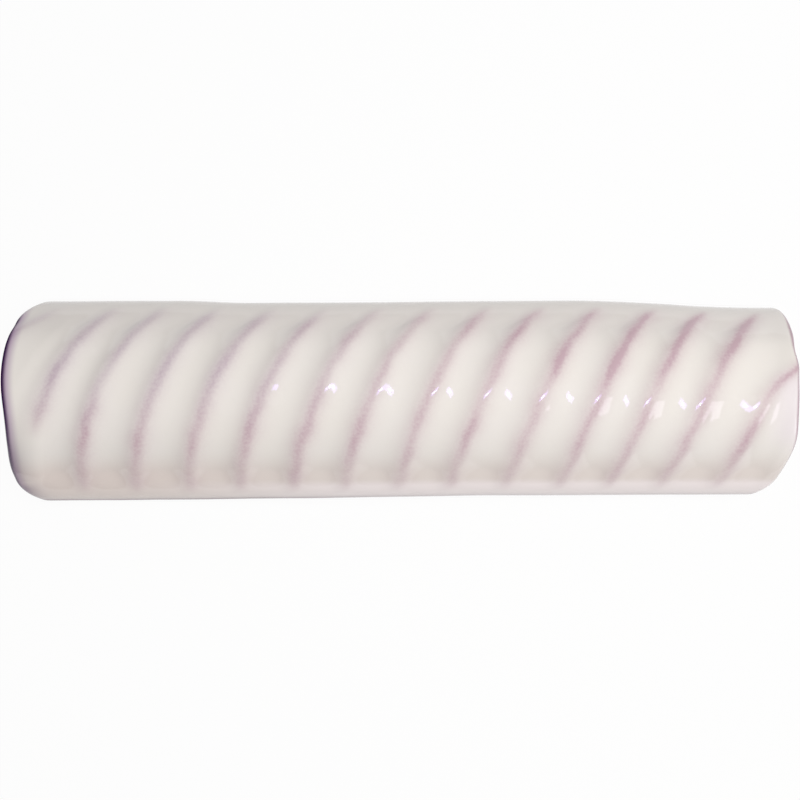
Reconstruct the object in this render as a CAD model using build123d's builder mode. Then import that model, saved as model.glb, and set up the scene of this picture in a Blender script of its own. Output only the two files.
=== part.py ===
from build123d import *
import os
from math import acos, atan, ceil, cos, floor, sin, sqrt

# Rope liner tile: one fired piece with a flat back and a half-round face.
# X runs along the tile, Y across it and Z out of the face. The origin lies
# in the plane of the back, midway along the longer side and midway across.
# Sizes are in millimetres, and turns round the rope are in radians.

# Blank
tile_length = 152.0      # along the longer side, +Y
tile_width = 40.0
tile_height = 19.0
foot_height = 3.0        # upright sides next to the back
shoulder_radius = 9.6    # plain round between the foot and the rope
end_skew = 2.3           # degrees that the +X end is cut out of square
end_rounding = 2.0       # arris round both ends

# Rope
rope_seat = 3.0          # from the foot up to the underside of the rope
ridge_pitch = 10.45      # along the crown, from ridge to ridge
ridge_shift = 5.2        # from the origin to the nearest ridge on the crown
ridge_lean = 8.6         # along the tile for each radian round the rope
ridge_bow = 3.0          # added along the tile for each squared radian
ridge_rounding = 1.6     # radius of the crests
scoop_radius = 13.5      # round bottom of the hollow between two ridges
scoop_overrun = 0.1      # turn that a scoop goes on for below the rope's edge
trim_clearance = 0.05    # from the sides and crests out to the trimming outline
seam_rounding = 4.0      # in that outline, where the shoulders meet the rope

# The round of the rope goes through the crown and the top of both feet.
rope_rise = tile_height - foot_height
rope_radius = ((tile_width / 2) ** 2 + rope_rise**2) / (2 * rope_rise)
rope_centre = tile_height - rope_radius
rope_base = foot_height + rope_seat
body_height = foot_height + shoulder_radius

# Two scoops side by side meet in a sharp ridge. It is then rounded, and the
# round crest touches both scoops and reaches the rope's radius.
path_lean = atan(ridge_lean / (rope_radius + scoop_radius))
half_scoop = ridge_pitch * cos(path_lean) / 2
sharp_rise = scoop_radius - sqrt(scoop_radius**2 - half_scoop**2)
touch_radius = scoop_radius + ridge_rounding
round_rise = touch_radius - sqrt(touch_radius**2 - half_scoop**2)
scoop_path_radius = rope_radius - round_rise + scoop_radius
bar_radius = rope_radius + sharp_rise


def ridge_run(turn):
    # How far a ridge has moved along the tile at a turn round the rope.
    return ridge_lean * turn + ridge_bow * turn**2


def scoop_point(turn):
    across = scoop_path_radius * sin(turn)
    up = rope_centre + scoop_path_radius * cos(turn)
    return (ridge_run(turn), across, up)


def draw_rope(radius):
    # The part of the rope's round that stands above its seat.
    with Locations((0, rope_centre)):
        Circle(radius)
    with Locations((0, rope_base)):
        Rectangle(
            4 * radius,
            4 * radius,
            align=(Align.CENTER, Align.MAX),
            mode=Mode.SUBTRACT,
        )


# One scoop: a round bar bent over the tile along the run of a ridge, from
# below one edge of the rope to below the other.
rope_edge = acos((rope_base - rope_centre) / bar_radius)
scoop_reach = rope_edge + scoop_overrun
route_steps = 3
turns = [scoop_reach * step / route_steps for step in range(-route_steps, route_steps + 1)]
with BuildPart() as scoop:
    with BuildLine() as route:
        Spline(*[scoop_point(turn) for turn in turns])
    outward = (0, sin(-scoop_reach), cos(-scoop_reach))
    with BuildSketch(Plane(origin=route.line @ 0, x_dir=outward, z_dir=route.line % 0)):
        Circle(scoop_radius)
    sweep()

# Rope: a bar longer than the tile, scooped along every hollow. All ridges
# that cross the tile are then whole, and their crests are rounded.
most_forward = max(ridge_run(scoop_reach), ridge_run(-scoop_reach))
most_back = min(ridge_run(scoop_reach), ridge_run(-scoop_reach), 0)
rope_length = tile_length + 2 * (most_forward - most_back)
first_hollow = floor((-rope_length / 2 - most_forward) / ridge_pitch)
last_hollow = ceil((rope_length / 2 - most_back) / ridge_pitch)
hollows = [
    (ridge_shift + (number + 0.5) * ridge_pitch, 0, 0)
    for number in range(first_hollow, last_hollow)
]
with BuildPart() as rope:
    with BuildSketch(Plane.YZ.offset(-rope_length / 2)):
        draw_rope(bar_radius)
    extrude(amount=rope_length)
    with Locations(*hollows):
        add(scoop.part, mode=Mode.SUBTRACT, clean=False)
    flat_edges = faces().filter_by(GeomType.PLANE).edges()
    crests = edges().filter_by(lambda edge: edge not in flat_edges)
    whole_crests = crests.group_by(SortBy.LENGTH)[-1]
    fillet(whole_crests, ridge_rounding)

# Outline: the tile without its hollows, cut to length and rounded at both
# ends. The +X end is out of square, which leaves the +Y side the longer one.
first_end = Plane.YZ.offset(-tile_length / 2)
with BuildPart() as outline:
    with BuildSketch(first_end) as outline_section:
        draw_rope(rope_radius + trim_clearance)
        RectangleRounded(tile_width + 2 * trim_clearance, 2 * body_height, shoulder_radius)
        seams = outline_section.vertices().group_by(Axis.Y)[-1]
        fillet(seams, seam_rounding)
    extrude(amount=tile_length + tile_width)
    long_corner = (tile_length / 2, tile_width / 2, 0)
    square_end = Plane(origin=long_corner, x_dir=(0, 1, 0), z_dir=(1, 0, 0))
    split(bisect_by=square_end.rotated((0, 0, -end_skew)), keep=Keep.BOTTOM)
    ends = faces().sort_by(Axis.X)
    fillet(ends[0].edges() + ends[-1].edges(), end_rounding)

# Tile: a plain body with round shoulders, and the rope let into it.
with BuildPart() as liner_tile:
    with BuildSketch(first_end):
        RectangleRounded(tile_width, 2 * body_height, shoulder_radius)
        Rectangle(tile_width, body_height, align=(Align.CENTER, Align.MAX), mode=Mode.SUBTRACT)
    extrude(amount=tile_length)
    add(rope.part, clean=False)
    add(outline.part, mode=Mode.INTERSECT, clean=False)

liner_tile.part.label = "liner_tile"
os.makedirs("parts", exist_ok=True)
export_step(liner_tile.part, "parts/liner_tile.step")
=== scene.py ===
from math import atan2, cos, radians, sin

import bpy
import numpy as np
from mathutils import Matrix, Vector, noise


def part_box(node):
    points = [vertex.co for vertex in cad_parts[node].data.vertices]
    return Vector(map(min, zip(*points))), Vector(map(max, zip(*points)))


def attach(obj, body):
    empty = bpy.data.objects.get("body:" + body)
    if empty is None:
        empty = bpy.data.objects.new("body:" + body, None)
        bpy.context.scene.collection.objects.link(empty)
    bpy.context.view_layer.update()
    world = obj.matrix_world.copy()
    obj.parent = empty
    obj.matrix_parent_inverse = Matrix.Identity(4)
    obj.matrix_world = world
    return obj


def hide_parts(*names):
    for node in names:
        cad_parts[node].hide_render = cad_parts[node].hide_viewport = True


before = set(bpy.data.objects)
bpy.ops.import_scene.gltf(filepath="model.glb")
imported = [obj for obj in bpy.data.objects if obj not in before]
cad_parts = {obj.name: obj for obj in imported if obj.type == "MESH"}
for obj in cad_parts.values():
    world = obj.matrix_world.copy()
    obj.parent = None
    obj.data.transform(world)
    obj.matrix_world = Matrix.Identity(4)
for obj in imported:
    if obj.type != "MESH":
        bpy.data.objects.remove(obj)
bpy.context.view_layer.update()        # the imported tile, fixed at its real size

mm = 0.001
scene = bpy.context.scene
scene.view_settings.view_transform = "Standard"


# Small helpers

def smoothStep(low, high, value):
    share = np.clip((value - low) / (high - low), 0.0, 1.0)
    return share * share * (3.0 - 2.0 * share)


def bump(value, middle, width):
    return np.exp(-((value - middle) / width) ** 2)


def softMax(first, second, width):
    # the larger of two heights, with the corner between them rounded off
    blend = np.clip(0.5 + 0.5 * (first - second) / width, 0.0, 1.0)
    return second + (first - second) * blend + width * blend * (1.0 - blend)


seedSteps = (17.3, 5.1, 9.7)     # how far a seed moves into the noise, along each axis


def unevenness(points, size, seed):
    # smooth noise in -1..1 with lumps about as wide as size, in mm
    shift = Vector([seed * step for step in seedSteps])
    return np.array([noise.noise(Vector(point) / size + shift) for point in points])


# The camera looks straight down on the tile, as the photograph does

cameraSet = {
    "place": (0.8, 0.0, 165.2),      # mm
    "target": (0.06, -0.24, 0.0),
    "turn": 0.3,                     # degrees about the line of sight
    "lens": 35.32,
    "sensor": 36.0,
    "clip": (0.01, 10.0),            # m
}


def makeCamera():
    lensData = bpy.data.cameras.new("topView")
    lensData.lens = cameraSet["lens"]
    lensData.sensor_width = cameraSet["sensor"]
    lensData.clip_start, lensData.clip_end = cameraSet["clip"]
    camera = bpy.data.objects.new("topView", lensData)
    scene.collection.objects.link(camera)
    place = Vector(cameraSet["place"]) * mm
    sight = (Vector(cameraSet["target"]) * mm - place).normalized()
    turn = radians(cameraSet["turn"])
    up = Vector((sin(turn), cos(turn), 0.0))
    side = sight.cross(up).normalized()
    top = side.cross(sight)
    turned = Matrix((side, top, -sight)).transposed().to_4x4()
    camera.matrix_world = Matrix.Translation(place) @ turned
    scene.camera = camera
    print("camera set")


makeCamera()


# The shape of the tile, in mm. Every point of its face lies on a ray from
# the middle of the rope, at an angle called the turn: 0 at the crown and
# positive towards +Y.

low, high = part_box("liner_tile")

blank = {
    "width": (high[1] - low[1]) / mm,
    "height": 19.0,
    "foot": 3.0,              # upright sides
    "shoulder": 9.6,          # radius of the plain round above the foot
    "backEdge": 0.3,          # from the sides in to the first points of the back
    "leastHeight": 0.25,      # of the face's lowest points above the back
}

rope = {
    "radius": 20.5,
    "relief": 0.91,           # from the hollows to the crests
    "crestShare": 0.35,       # of the pitch that is rounded outwards
    "pitch": 10.45,
    "numbers": range(-3, 16),
    "placedRidge": 7,         # this one is at the shift on the crown
    "shift": 5.2,
    "middleRidge": 6.5,
    "lean": 8.6,              # along the tile for each radian of turn
    "leanGain": 0.18,         # more lean for each ridge towards +X
    "bow": 3.0,               # along the tile for each squared radian
    "bowGain": 0.1,
    "softness": 0.8,          # glaze filling the seam along the shoulders
    "runOut": (60, 72),       # degrees of turn over which the ridges run out
    "shoulderDepth": 0.35,    # below the crests, where they have run out
    # the relief is lower before ridge 0 and at the +X end: the share that is
    # left, and over how many mm before that ridge or from where along the tile
    "firstRelief": 0.45,
    "firstFade": (2.0, 7.0),
    "endRelief": 0.4,
    "endFade": (70.5, 75.0),
    # the first ridge only crosses a corner of the tile
    "cornerRidge": -1,
    "cornerLean": 4.2,
    "cornerBow": 1.8,
    # the last ridge runs out over the end of the tile
    "lastRidge": 13,
    "lastRun": 22.0,
    "lastTurn": 0.6,          # and no further than this turn
    "lastPower": 1.5,
}

# how far each ridge of the hand-made piece strays from even spacing
ridgeDrift = {
    -1: -5.6, 0: 1.3, 1: 0.2, 2: 0.2, 3: 0.3,
    6: -0.3, 8: -0.2, 9: 0.4, 10: 0.7, 13: 0.7,
}

ends = {
    "left": 76.0,             # from the middle to the cut
    "leftTrim": 0.05,
    "leftStep": 0.4,          # taken off beyond a place across the tile
    "leftStepAcross": (-15.0, -9.0),
    "leftDent": (0.9, -4.0, 7.0),      # depth, middle and half width
    "right": 76.0,            # on the +Y side
    "rightTrim": 0.1,
    "rightSkew": 2.3,         # degrees out of square
    "longCornerOut": 1.3,     # its +Y corner stands out
    "longCornerAcross": (9.0, 17.0),
    "rightSwell": (0.5, -9.0, 4.0),
    "dentAtBack": 0.2,        # share of the dent and the swell at the back
    "arris": 1.4,             # radius of the glazed arris over the rope
    "leftCorner": 4.0,        # at the feet of the -X end
    "rightCorner": 3.3,       # at the -Y foot of the +X end
    "longCorner": 1.1,        # and at its +Y foot
    "cornerTurns": (50, 70),  # degrees of turn from the arris to the corners
    "longCornerFrom": (0.0, 12.0),
}

ropeMiddle = blank["height"] - rope["radius"]


def ridgePlace(number, turn):
    # where a ridge is along the tile, at a turn round the rope
    offset = number - rope["middleRidge"]
    place = rope["shift"] + rope["pitch"] * (number - rope["placedRidge"])
    place = place + ridgeDrift.get(number, 0.0)
    place = place + (rope["lean"] + rope["leanGain"] * offset) * turn
    place = place + (rope["bow"] + rope["bowGain"] * offset) * turn * turn
    if number == rope["cornerRidge"]:
        place = place + rope["cornerLean"] * turn + rope["cornerBow"] * turn * turn
    if number == rope["lastRidge"]:
        place = place + rope["lastRun"] * np.clip(turn, 0.0, rope["lastTurn"]) ** rope["lastPower"]
    return place


def shoulderRadius(turn):
    # from the middle of the rope out to the plain body: its upright foot, or
    # the round above that
    half = blank["width"] / 2
    roundRadius = blank["shoulder"]
    aside = half - roundRadius
    above = blank["foot"] - ropeMiddle
    across, up = np.abs(np.sin(turn)), np.cos(turn)
    nearest = aside * across + above * up
    tangent = aside * aside + above * above - roundRadius * roundRadius
    onRound = nearest + np.sqrt(np.maximum(nearest * nearest - tangent, 0.0))
    onRound = np.where(nearest * nearest > tangent, onRound, 0.0)
    onFoot = half / np.maximum(across, 0.01)
    return np.where(ropeMiddle + onFoot * up < blank["foot"], onFoot, onRound)


def ridgeShape(along, turn):
    # height of the rope's relief, 0 in a hollow and 1 on a crest, how far the
    # nearest crest is along the tile in mm, and its number
    farOff = 1e9
    before = np.full_like(along, -farOff)
    after = np.full_like(along, farOff)
    numberBefore = np.zeros_like(along)
    for number in rope["numbers"]:
        place = ridgePlace(number, turn)
        numberBefore = np.where((place <= along) & (place > before), number, numberBefore)
        before = np.where(place <= along, np.maximum(before, place), before)
        after = np.where(place > along, np.minimum(after, place), after)
    share = (along - before) / (after - before)
    # a round hollow, and from the start of the crest a round the other way
    side = np.abs(2 * share - 1)
    start = 1 - rope["crestShare"]
    hollow = side ** 2
    crest = start ** 2 + 2 * start * (side - start)
    crest = crest - start / (1 - start) * (side - start) ** 2
    shape = np.where(side < start, hollow, crest) / start
    nearest = np.where(share < 0.5, along - before, along - after)
    number = np.where(share < 0.5, numberBefore, numberBefore + 1)
    return shape, nearest, number


def faceRadius(along, turn):
    shape = ridgeShape(along, turn)[0]
    firstHollow = smoothStep(*rope["firstFade"], ridgePlace(0, turn) - along)
    relief = rope["relief"] * (1 - (1 - rope["firstRelief"]) * firstHollow)
    relief = relief * (1 - (1 - rope["endRelief"]) * smoothStep(*rope["endFade"], along))
    # the ridges run out where the plain shoulder begins
    depth = relief * (1 - shape)
    fromTurn, toTurn = rope["runOut"]
    runOut = smoothStep(radians(fromTurn), radians(toTurn), np.abs(turn))
    ropeRadius = rope["radius"] - depth + (depth - rope["shoulderDepth"]) * runOut
    return softMax(ropeRadius, shoulderRadius(turn), rope["softness"])


def endReach(side, across, dent=1.0):
    # how far the hand-cut end lies from the middle, at a place across the tile
    if side < 0:
        depth, middle, width = ends["leftDent"]
        step = ends["leftStep"] * smoothStep(*ends["leftStepAcross"], across)
        return ends["left"] - ends["leftTrim"] - step - depth * dent * bump(across, middle, width)
    height, middle, width = ends["rightSwell"]
    slope = sin(radians(ends["rightSkew"]))
    reach = ends["right"] - slope * (blank["width"] / 2 - across)
    reach = reach + ends["longCornerOut"] * smoothStep(*ends["longCornerAcross"], across)
    return reach - ends["rightTrim"] + height * dent * bump(across, middle, width)


# The mesh is a row of closed rings round the tile, and a face at each end

meshSteps = {
    "face": 171,              # points of a ring on the face, from foot to foot
    "back": 42,               # and on the back
    "rows": 430,              # rings between the two arrises
    "easing": (90, 76, 62, 48, 34, 20, 8),         # degrees, the rings of an arris
    "endRings": (0.97, 0.9, 0.75, 0.5, 0.25),      # rings of an end face
}


def makeRing():
    # turns of the points round the face, from the +Y back edge to the -Y one,
    # then where those and the points of the back lie across the tile
    half = blank["width"] / 2
    foot = atan2(half, -ropeMiddle)
    turns = np.linspace(foot, -foot, meshSteps["face"])
    onBack = half - blank["backEdge"]
    back = np.linspace(-onBack, onBack, meshSteps["back"])
    across = np.concatenate([np.clip(rope["radius"] * np.sin(turns), -half, half), back])
    return turns, across


def endArris(side, turns, across):
    # how round the arris is at each point of the ring
    fromTurn, toTurn = ends["cornerTurns"]
    foots = smoothStep(radians(fromTurn), radians(toTurn), np.abs(turns))
    foots = np.concatenate([foots, np.ones(meshSteps["back"])])
    if side < 0:
        corner = ends["leftCorner"]
    else:
        change = ends["longCorner"] - ends["rightCorner"]
        corner = ends["rightCorner"] + change * smoothStep(*ends["longCornerFrom"], across)
    return ends["arris"] + (corner - ends["arris"]) * foots


def makeSection(along, turns, across, inset):
    # one closed ring of points round the tile, set in from the face by inset
    faceSteps = meshSteps["face"]
    radius = faceRadius(along[:faceSteps], turns) - inset[:faceSteps]
    side = radius * np.sin(turns)
    up = np.maximum(ropeMiddle + radius * np.cos(turns), blank["leastHeight"])
    half = blank["width"] / 2
    back = across[faceSteps:] * (half - inset[faceSteps:]) / half
    side = np.concatenate([side, back])
    up = np.concatenate([up, np.zeros(meshSteps["back"])])
    return np.stack([along, side, up], axis=1)


def buildTile():
    turns, across = makeRing()
    atBack = np.full(meshSteps["back"], ends["dentAtBack"])
    dent = np.concatenate([np.ones(meshSteps["face"]), atBack])
    leftEnd, rightEnd = endReach(-1, across, dent), endReach(1, across, dent)
    leftArris, rightArris = endArris(-1, turns, across), endArris(1, turns, across)
    easing = [radians(angle) for angle in meshSteps["easing"]]
    sections = []
    for angle in easing:
        along = -(leftEnd - leftArris + leftArris * sin(angle))
        sections.append(makeSection(along, turns, across, leftArris * (1 - cos(angle))))
    for share in np.linspace(0, 1, meshSteps["rows"]):
        along = -(leftEnd - leftArris) * (1 - share) + (rightEnd - rightArris) * share
        sections.append(makeSection(along, turns, across, 0 * leftArris))
    for angle in reversed(easing):
        along = rightEnd - rightArris + rightArris * sin(angle)
        sections.append(makeSection(along, turns, across, rightArris * (1 - cos(angle))))
    return np.array(sections)


points = buildTile()
print("tile rows", points.shape)


# What the maker's hand leaves

hand = {
    # height of the lumps, their size and their seed
    "lumps": ((0.16, 34.0, 1), (0.05, 11.0, 2), (0.012, 3.4, 3)),
    "lumpsUp": (0.3, 3.0),    # they grow in over this height above the back
    # how far the long sides stray towards +Y, and from where to where along
    # and across the tile that grows in
    "sides": (
        (0.4, (-30.0, -45.0), (10.0, 19.0)),
        (-1.7, (35.0, 74.0), (4.0, 19.0)),
        (-0.7, (20.0, -60.0), (-10.0, -19.0)),
    ),
}


def shapeByHand(points):
    # the lumps lie along the lines from the rope's middle; the back stays flat
    flat = points.reshape(-1, 3)
    lumps = sum(height * unevenness(flat, size, seed) for height, size, seed in hand["lumps"])
    keep = smoothStep(*hand["lumpsUp"], flat[:, 2])
    outward = flat - np.array([0.0, 0.0, ropeMiddle])
    outward[:, 0] = 0
    outward /= np.linalg.norm(outward, axis=1)[:, None]
    flat = flat + outward * (lumps * keep)[:, None]
    along, across = flat[:, 0], flat[:, 1]
    stray = sum(
        size * smoothStep(*alongFade, along) * smoothStep(*acrossFade, across)
        for size, alongFade, acrossFade in hand["sides"]
    )
    flat[:, 1] += stray
    return flat.reshape(points.shape)


def joinRings(faces, first, second, ring, turned=False):
    # four-sided faces between two rings of points, which start at these indices
    for step in range(ring):
        following = (step + 1) % ring
        quad = (first + step, first + following, second + following, second + step)
        faces.append(quad[::-1] if turned else quad)


def closeEnd(verts, faces, row, rim, turned):
    # an end face: ever smaller rings, and triangles round the middle
    ring = len(rim)
    first = row * ring
    middle = rim.mean(axis=0)
    for share in meshSteps["endRings"]:
        start = len(verts)
        for point in rim:
            verts.append(tuple((middle + (point - middle) * share) * mm))
        joinRings(faces, start, first, ring, turned)
        first = start
    centre = len(verts)
    verts.append(tuple(middle * mm))
    for step in range(ring):
        triple = (first + step, centre, first + (step + 1) % ring)
        faces.append(triple[::-1] if turned else triple)


def addMesh(name, points):
    rows, ring, _ = points.shape
    verts = [tuple(point * mm) for point in points.reshape(-1, 3)]
    faces = []
    for row in range(rows - 1):
        joinRings(faces, row * ring, (row + 1) * ring, ring)
    closeEnd(verts, faces, 0, points[0], False)
    closeEnd(verts, faces, rows - 1, points[-1], True)
    mesh = bpy.data.meshes.new(name)
    mesh.from_pydata(verts, [], faces)
    mesh.validate()
    piece = bpy.data.objects.new(name, mesh)
    scene.collection.objects.link(piece)
    for polygon in mesh.polygons:
        polygon.use_smooth = True
    return piece


points = shapeByHand(points)
tile = addMesh("glazedTile", points)
print("tile mesh", len(tile.data.polygons))


# Marks on the mesh that the glaze reads: the wash along the crests, the
# tones of the glaze with painted shade and light, how far both ends are,
# and where the clay is bare

stain = {
    "core": 1.15,             # half width of the mauve line along a crest, mm
    "halo": 2.5,              # half width of the wash beside it
    "coreShare": 0.54,
    "shift": 0.12,            # from the crest towards +X
    "wander": 0.45,           # of the line to either side of the crest
    "wanderSize": 4.0,
    "strength": 0.56,
    "fuller": 0.20,           # more on the near side of the crown
    "fullerTurn": (-0.3, 0.3),
    "fullest": 0.52,          # more on the far side towards the +X end
    "finer": 0.2,             # and there a narrower line
    "farAlong": (5.0, 35.0),
    "farTurn": (0.0, 0.35),
    "patchiness": 0.4,
    "patchSize": 6.0,
    "cornerRidge": 0.75,      # share on the first ridge
    "stained": (-1, 13),      # first and last ridge that has the wash
    "dryTurn": (-0.05, -0.4), # the brush ran dry on ridge 0
    "fade": (64, 48),         # degrees of turn where the wash sets in
}

# turns are in radians, and places and heights in mm
tones = {
    "coolAlong": (15.0, -50.0),
    "coolTurn": (-0.5, 0.4),
    "nearSide": (2.0, -2.0),
    "lowLine": (5.6, 1.1),              # height and half width of the dark line
    "lowLineDark": 0.9,
    "lowLineLoss": 0.45,                # it is weaker towards +X
    "lowLineFade": (-40.0, 20.0),
    "foot": (3.4, 2.2),                 # thin glaze at the foot
    "footDark": 0.5,
    "cornerDark": 0.75,                 # painted shade in the dent at the -X end, low on the near side
    "cornerGap": (0.0, 3.2),
    "cornerTurn": (-0.68, 0.36),
    "footCornerDark": 0.9,
    "footCornerGap": (0.5, 3.5),
    "footCornerTurn": (-0.8, -1.0),
    "arrisFrom": (-1.4, -1.1),          # the dark arris of the -X end
    "arrisTo": (1.15, 0.85),
    "arrisLeast": 0.6,
    "arrisFull": (-0.6, 0.1),
    "dullGap": (1.6, 0.8),
    "rightPart": (-60.0, -5.0),
    "blushAndShade": (-0.50, -0.86),            # pinkish glaze towards the near side, darkened there as painted shade
    "blushAndShadeLoss": 0.3,                   # less of it in the right part
    # painted light bounced from the floor, at the edge of the near side
    "pale": (-0.88, -0.98),
    # painted shade on the far side, towards +Y
    "shade": (0.45, 0.9),
    "sheenAlong": (68.0, 74.0),         # painted lilac sheen, a lamp's reflection, at the +X end
    "sheenTo": (0.3, 0.1),
    "sheenFrom": (-0.6, -0.3),
    "backHeight": 0.2,
}


def farRight(along, turn):
    return smoothStep(*stain["farAlong"], along) * smoothStep(*stain["farTurn"], turn)


def stainStrength(number, along, turn):
    # the wash is fuller on some ridges and fades where the brush ran dry
    strength = stain["strength"] + stain["fuller"] * bump(turn, *stain["fullerTurn"])
    strength = strength + stain["fullest"] * farRight(along, turn)
    firstStained, lastStained = stain["stained"]
    strength = np.where(number == rope["cornerRidge"], stain["cornerRidge"] * strength, strength)
    strength = np.where((number > lastStained) | (number < firstStained), 0.0, strength)
    dry = (number == 0) * smoothStep(*stain["dryTurn"], turn)
    fromTurn, toTurn = stain["fade"]
    fade = smoothStep(radians(fromTurn), radians(toTurn), np.abs(turn))
    return strength * (1.0 - dry) * fade


def stainLine(place, along, turn):
    _, near, number = ridgeShape(along, turn)
    near = near - stain["shift"]
    near = near + stain["wander"] * unevenness(place, stain["wanderSize"], seed=5)
    coreWidth = stain["core"] - stain["finer"] * farRight(along, turn)
    core, halo = bump(near, 0.0, coreWidth), bump(near, 0.0, stain["halo"])
    line = stain["coreShare"] * core + (1 - stain["coreShare"]) * halo
    line = line * stainStrength(number, along, turn)
    return line * (1 + stain["patchiness"] * unevenness(place, stain["patchSize"], seed=6))


def lowMarks(along, across, up, turn, leftGap):
    # the dark line low on the near side, the foot, and at the near -X corner the painted shade of
    # the dent and the dark foot corner
    nearSide = smoothStep(*tones["nearSide"], across)
    lowLine = bump(up, *tones["lowLine"]) * nearSide
    lowLine = lowLine * (1 - tones["lowLineLoss"] * smoothStep(*tones["lowLineFade"], along))
    lowLine = tones["lowLineDark"] * lowLine
    foot = smoothStep(*tones["foot"], up) * tones["footDark"]
    # painted shade of the dent low on the -X end
    corner = tones["cornerDark"] * bump(leftGap, *tones["cornerGap"])
    corner = corner * bump(turn, *tones["cornerTurn"])
    footCorner = tones["footCornerDark"] * bump(leftGap, *tones["footCornerGap"])
    footCorner = footCorner * smoothStep(*tones["footCornerTurn"], turn)
    return lowLine, np.maximum(lowLine, foot), np.maximum(corner, footCorner)


def darkArris(turn):
    dark = smoothStep(*tones["arrisFrom"], turn) * smoothStep(*tones["arrisTo"], turn)
    least = tones["arrisLeast"]
    return dark * (least + (1 - least) * smoothStep(*tones["arrisFull"], turn))


def bareClay(up, points):
    # the back and the end faces, inside the first ring of each end face
    rows, ring, _ = points.shape
    onEnds = np.arange(len(up)) - rows * ring
    eachEnd = len(meshSteps["endRings"]) * ring + 1
    return (up < tones["backHeight"]) | ((onEnds >= 0) & (onEnds % eachEnd >= ring))


def markMesh(piece, points):
    mesh = piece.data
    place = np.empty(len(mesh.vertices) * 3)
    mesh.vertices.foreach_get("co", place)
    place = place.reshape(-1, 3) / mm
    along, across, up = place[:, 0], place[:, 1], place[:, 2]
    turn = np.arctan2(across, up - ropeMiddle)
    leftGap = np.clip(endReach(-1, across) + along, 0, None)
    rightGap = np.clip(endReach(1, across) - along, 0, None)
    lowLine, lowSide, lowCorner = lowMarks(along, across, up, turn, leftGap)
    arrisDark = darkArris(turn)
    rightPart = smoothStep(*tones["rightPart"], along)
    paintedEndSheen = smoothStep(*tones["sheenAlong"], along) * smoothStep(*tones["sheenTo"], turn)
    marks = {
        "crest": stainLine(place, along, turn),
        "cool": smoothStep(*tones["coolAlong"], along) * smoothStep(*tones["coolTurn"], turn),
        "leftGap": leftGap,
        "rightGap": rightGap,
        "lowCorner": lowCorner,
        "arrisDark": arrisDark,
        "dull": np.maximum(smoothStep(*tones["dullGap"], leftGap) * arrisDark, lowLine),
        "blushAndShade": smoothStep(*tones["blushAndShade"], turn) * (1 - tones["blushAndShadeLoss"] * rightPart),
        "pale": smoothStep(*tones["pale"], turn) * rightPart,
        "shade": smoothStep(*tones["shade"], turn),
        "paintedEndSheen": paintedEndSheen * smoothStep(*tones["sheenFrom"], turn),
        "side": lowSide,
        "bare": bareClay(up, points),
    }
    for name, values in marks.items():
        layer = mesh.attributes.new(name, "FLOAT", "POINT")
        layer.data.foreach_set("value", values.astype(np.float32))
    print("marks written")


markMesh(tile, points)


# Materials

def newMaterial(name):
    material = bpy.data.materials.new(name)
    material.use_nodes = True
    material.node_tree.nodes.clear()
    return material, material.node_tree


def addNode(tree, kind, place, **values):
    node = tree.nodes.new(kind)
    node.location = place
    for key, value in values.items():
        if key in node.inputs:
            node.inputs[key].default_value = value
        else:
            setattr(node, key, value)
    return node


def mixColour(tree, place, factor, first, second):
    # first and second are colours or sockets that give one
    node = addNode(tree, "ShaderNodeMix", place, data_type="RGBA")
    tree.links.new(factor, node.inputs[0])
    for index, colour in ((6, first), (7, second)):
        if isinstance(colour, tuple):
            node.inputs[index].default_value = colour
        else:
            tree.links.new(colour, node.inputs[index])
    return node.outputs[2]


def mixShaders(tree, place, factor, first, second):
    node = addNode(tree, "ShaderNodeMixShader", place)
    for index, socket in enumerate((factor, first, second)):
        tree.links.new(socket, node.inputs[index])
    return node.outputs[0]


def mapRange(tree, place, source, fromLow, fromHigh, toLow=0.0, toHigh=1.0):
    node = addNode(tree, "ShaderNodeMapRange", place, interpolation_type="SMOOTHSTEP")
    for name, value in (("From Min", fromLow), ("From Max", fromHigh),
                        ("To Min", toLow), ("To Max", toHigh)):
        node.inputs[name].default_value = value
    tree.links.new(source, node.inputs["Value"])
    return node.outputs["Result"]


def multiply(tree, place, first, second):
    node = addNode(tree, "ShaderNodeMath", place, operation="MULTIPLY")
    node.use_clamp = True
    tree.links.new(first, node.inputs[0])
    tree.links.new(second, node.inputs[1])
    return node.outputs[0]


def readMark(tree, place, name):
    return addNode(tree, "ShaderNodeAttribute", place, attribute_name=name).outputs["Fac"]


def rimShare(tree, place, gap, rim):
    near, far, full = rim
    return mapRange(tree, place, gap, near, far, full, 0.0)


def finishWith(tree, place, kind, socket):
    output = addNode(tree, kind, place)
    tree.links.new(socket, output.inputs[0])


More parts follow.
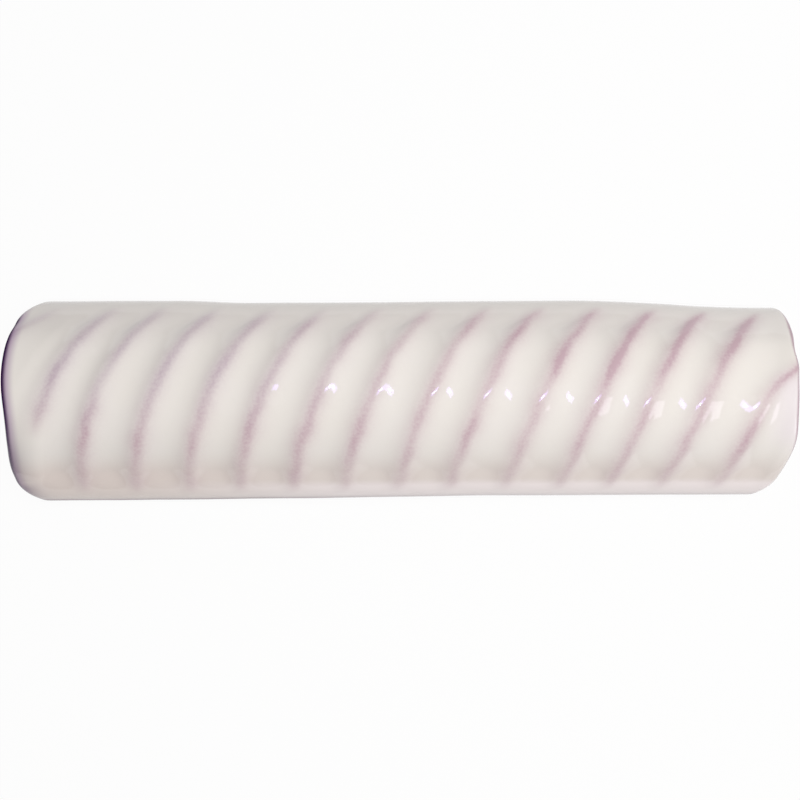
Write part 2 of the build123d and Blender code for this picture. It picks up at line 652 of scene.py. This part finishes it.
glaze = {
    "white": (0.860, 0.820, 0.795, 1.0),
    "warm": (0.845, 0.805, 0.752, 1.0),
    # pinkish tone, darker as painted shade for the near side
    "blushAndShade": (0.800, 0.710, 0.668, 1.0),
    # painted light from the floor at the near edge
    "pale": (0.930, 0.850, 0.845, 1.0),
    # painted shade for the far side
    "shade": (0.775, 0.735, 0.705, 1.0),
    # painted reflection at the +X end
    "sheenLilac": (0.860, 0.800, 0.815, 1.0),
    "mauve": (0.580, 0.420, 0.470, 1.0),
    "coolMauve": (0.480, 0.360, 0.450, 1.0),
    "darkViolet": (0.040, 0.010, 0.068, 1.0),
    "violet": (0.30, 0.15, 0.34, 1.0),
    "greyViolet": (0.24, 0.18, 0.25, 1.0),
    "rose": (0.36, 0.21, 0.27, 1.0),
    "bisque": (0.66, 0.53, 0.42, 1.0),
    "side": (0.33, 0.25, 0.28, 1.0),
    "patchScale": 70.0,       # of the warmer patches in the white
    "grainScale": 1800.0,     # of the grain in the wash
    "grain": (0.86, 1.14),    # least and most of the wash
    # the rims at the ends: from and to this far from the end, in mm, and
    # how strong they are there
    "violetRim": (0.8, 3.2, 0.72),
    "darkRim": (0.6, 1.6, 1.0),
    "roseRim": (0.3, 1.0, 0.9),
    "leastRim": 0.45,         # of the dark arris, away from the crown
    "ior": 1.5,
    "gloss": 0.5,
    "roughness": 0.06,
    "bareRoughness": 0.8,
}


def whiteGlaze(tree, coords):
    # warm patches in the white, and over it a pink tone, painted shade on both
    # sides, painted floor light at the near edge and a painted sheen at the +X end
    patch = addNode(
        tree, "ShaderNodeTexNoise", (-1100, 300), Scale=glaze["patchScale"], Detail=3.0
    )
    tree.links.new(coords, patch.inputs["Vector"])
    colour = mixColour(tree, (-850, 300), patch.outputs["Fac"], glaze["white"], glaze["warm"])
    overlays = (("blushAndShade", "blushAndShade"), ("pale", "pale"), ("shade", "shade"), ("paintedEndSheen", "sheenLilac"))
    for index, (mark, tone) in enumerate(overlays):
        share = readMark(tree, (-900, 500 + 100 * index), mark)
        colour = mixColour(tree, (-750 + 50 * index, 300), share, colour, glaze[tone])
    return colour


def addWash(tree, coords, colour):
    # mauve wash on the crests, a little grainy and colder on the left
    grain = addNode(
        tree, "ShaderNodeTexNoise", (-1100, -200), Scale=glaze["grainScale"], Detail=3.0
    )
    tree.links.new(coords, grain.inputs["Vector"])
    speck = mapRange(tree, (-900, -200), grain.outputs["Fac"], 0.3, 0.7, *glaze["grain"])
    wash = multiply(tree, (-700, -100), readMark(tree, (-900, 0), "crest"), speck)
    cool = readMark(tree, (-900, 100), "cool")
    pigment = mixColour(tree, (-700, 100), cool, glaze["mauve"], glaze["coolMauve"])
    return mixColour(tree, (-500, 200), wash, colour, pigment)


def addRims(tree, colour):
    # violet and near-black at the -X end, grey-violet low there as painted shade of the dent, and
    # rose at the +X end
    left = readMark(tree, (-900, -450), "leftGap")
    full = readMark(tree, (-900, -600), "arrisDark")
    fullness = mapRange(tree, (-700, -600), full, 0.0, 1.0, glaze["leastRim"], 1.0)
    nearLeft = rimShare(tree, (-700, -400), left, glaze["violetRim"])
    nearLeft = multiply(tree, (-500, -400), nearLeft, fullness)
    colour = mixColour(tree, (-300, 150), nearLeft, colour, glaze["violet"])
    # grey-violet: painted shade of the dent low on the -X end, with the dark foot corner
    lowCorner = readMark(tree, (-700, -850), "lowCorner")
    colour = mixColour(tree, (-220, 120), lowCorner, colour, glaze["greyViolet"])
    darkLeft = rimShare(tree, (-700, -550), left, glaze["darkRim"])
    darkLeft = multiply(tree, (-500, -550), darkLeft, fullness)
    colour = mixColour(tree, (-150, 100), darkLeft, colour, glaze["darkViolet"])
    right = readMark(tree, (-900, -700), "rightGap")
    nearRight = rimShare(tree, (-700, -700), right, glaze["roseRim"])
    return mixColour(tree, (0, 50), nearRight, colour, glaze["rose"])


def glazeMaterial():
    material, tree = newMaterial("antiqueWhiteGlaze")
    link = tree.links.new
    coords = addNode(tree, "ShaderNodeTexCoord", (-1400, 0)).outputs["Object"]
    colour = addRims(tree, addWash(tree, coords, whiteGlaze(tree, coords)))

    # the feet are hardly glazed, and the back and the end faces are bare
    low = readMark(tree, (-300, -300), "side")
    colour = mixColour(tree, (150, 0), low, colour, glaze["side"])
    bare = readMark(tree, (-300, -500), "bare")
    colour = mixColour(tree, (300, 0), bare, colour, glaze["bisque"])

    shader = addNode(tree, "ShaderNodeBsdfPrincipled", (600, 0), IOR=glaze["ior"])
    roughs = (glaze["roughness"], glaze["bareRoughness"])
    rough = mapRange(tree, (300, -300), bare, 0.0, 1.0, *roughs)
    dull = readMark(tree, (100, -600), "dull")
    gloss = mapRange(tree, (300, -500), dull, 0.0, 1.0, glaze["gloss"], 0.0)
    link(rough, shader.inputs["Roughness"])
    link(gloss, shader.inputs["Specular IOR Level"])
    link(colour, shader.inputs["Base Color"])
    finishWith(tree, (900, 0), "ShaderNodeOutputMaterial", shader.outputs[0])
    return material


tile.data.materials.append(glazeMaterial())
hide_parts("liner_tile")
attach(tile, "root")
print("glaze on")


# Floor, world and lamps

studio = {
    "world": 0.28,
    "worldColour": (1.0, 0.99, 0.98, 1.0),
    "floorSize": 3.0,         # m
    "floorShade": 0.86,
    "floorGlow": 0.93,        # share of plain white that the floor shows
}

lamps = {
    # place, aim and size are in mm, and size is first across the tile and then
    # along it
    "flash": {
        "place": (62, 0, 163), "aim": (20, 0, 18), "size": (5, 14),
        "power": 0.011, "colour": (1.0, 0.98, 1.0), "onlyGloss": True,
    },
    "flashGlow": {
        "place": (62, 0, 164), "aim": (20, 0, 18), "size": (18, 48),
        "power": 0.024, "colour": (0.50, 0.38, 1.0), "onlyGloss": True,
    },
    "sideGlow": {
        "place": (225, -88, 160), "aim": (60, 0, 18), "size": (60, 70),
        "power": 0.034, "colour": (0.92, 0.84, 1.0), "onlyGloss": True,
    },
    "softLight": {
        "place": (112, 10, 390), "aim": (0, 0, 0), "size": (260, 260),
        "power": 1.32, "colour": (1.0, 0.99, 0.98), "onlyGloss": False,
    },
}


def seenStraight(tree):
    # 1 for rays from the camera, and for those that gloss or glass sends on
    path = addNode(tree, "ShaderNodeLightPath", (-800, 200))
    seen = path.outputs["Is Camera Ray"]
    for index, name in enumerate(("Is Glossy Ray", "Is Transmission Ray")):
        either = addNode(tree, "ShaderNodeMath", (-600 + 150 * index, 200), operation="MAXIMUM")
        tree.links.new(seen, either.inputs[0])
        tree.links.new(path.outputs[name], either.inputs[1])
        seen = either.outputs[0]
    return seen


def makeFloor():
    size = studio["floorSize"] / 2
    mesh = bpy.data.meshes.new("floor")
    corners = [(-size, -size, 0), (size, -size, 0), (size, size, 0), (-size, size, 0)]
    mesh.from_pydata(corners, [], [(0, 1, 2, 3)])
    floor = bpy.data.objects.new("floor", mesh)
    scene.collection.objects.link(floor)
    material, tree = newMaterial("paleFloor")
    shade = studio["floorShade"]
    paper = addNode(tree, "ShaderNodeBsdfDiffuse", (0, 100), Color=(shade, shade, shade, 1))
    bright = addNode(tree, "ShaderNodeEmission", (0, -100), Strength=1.0)
    share = addNode(tree, "ShaderNodeMath", (-100, 200), operation="MULTIPLY")
    share.inputs[1].default_value = studio["floorGlow"]
    tree.links.new(seenStraight(tree), share.inputs[0])
    mixed = mixShaders(tree, (250, 0), share.outputs[0], paper.outputs[0], bright.outputs[0])
    finishWith(tree, (500, 0), "ShaderNodeOutputMaterial", mixed)
    mesh.materials.append(material)


def makeWorld():
    world = bpy.data.worlds.new("softRoom")
    scene.world = world
    world.use_nodes = True
    tree = world.node_tree
    tree.nodes.clear()
    room = addNode(
        tree, "ShaderNodeBackground", (0, 100),
        Color=studio["worldColour"], Strength=studio["world"],
    )
    white = addNode(tree, "ShaderNodeBackground", (0, -100))
    path = addNode(tree, "ShaderNodeLightPath", (-300, 200))
    seen = path.outputs["Is Camera Ray"]
    mixed = mixShaders(tree, (250, 0), seen, room.outputs[0], white.outputs[0])
    finishWith(tree, (500, 0), "ShaderNodeOutputWorld", mixed)


def makeLamps():
    for name, lamp in lamps.items():
        data = bpy.data.lights.new(name, "AREA")
        data.shape = "RECTANGLE"
        data.size, data.size_y = lamp["size"][0] * mm, lamp["size"][1] * mm
        data.energy = lamp["power"]
        data.color = lamp["colour"]
        light = bpy.data.objects.new(name, data)
        scene.collection.objects.link(light)
        light.location = Vector(lamp["place"]) * mm
        sight = Vector(lamp["aim"]) - Vector(lamp["place"])
        light.rotation_euler = sight.to_track_quat("-Z", "Y").to_euler()
        light.visible_glossy = lamp["onlyGloss"]
        light.visible_diffuse = not lamp["onlyGloss"]


makeFloor()
makeWorld()
makeLamps()
print("studio set")
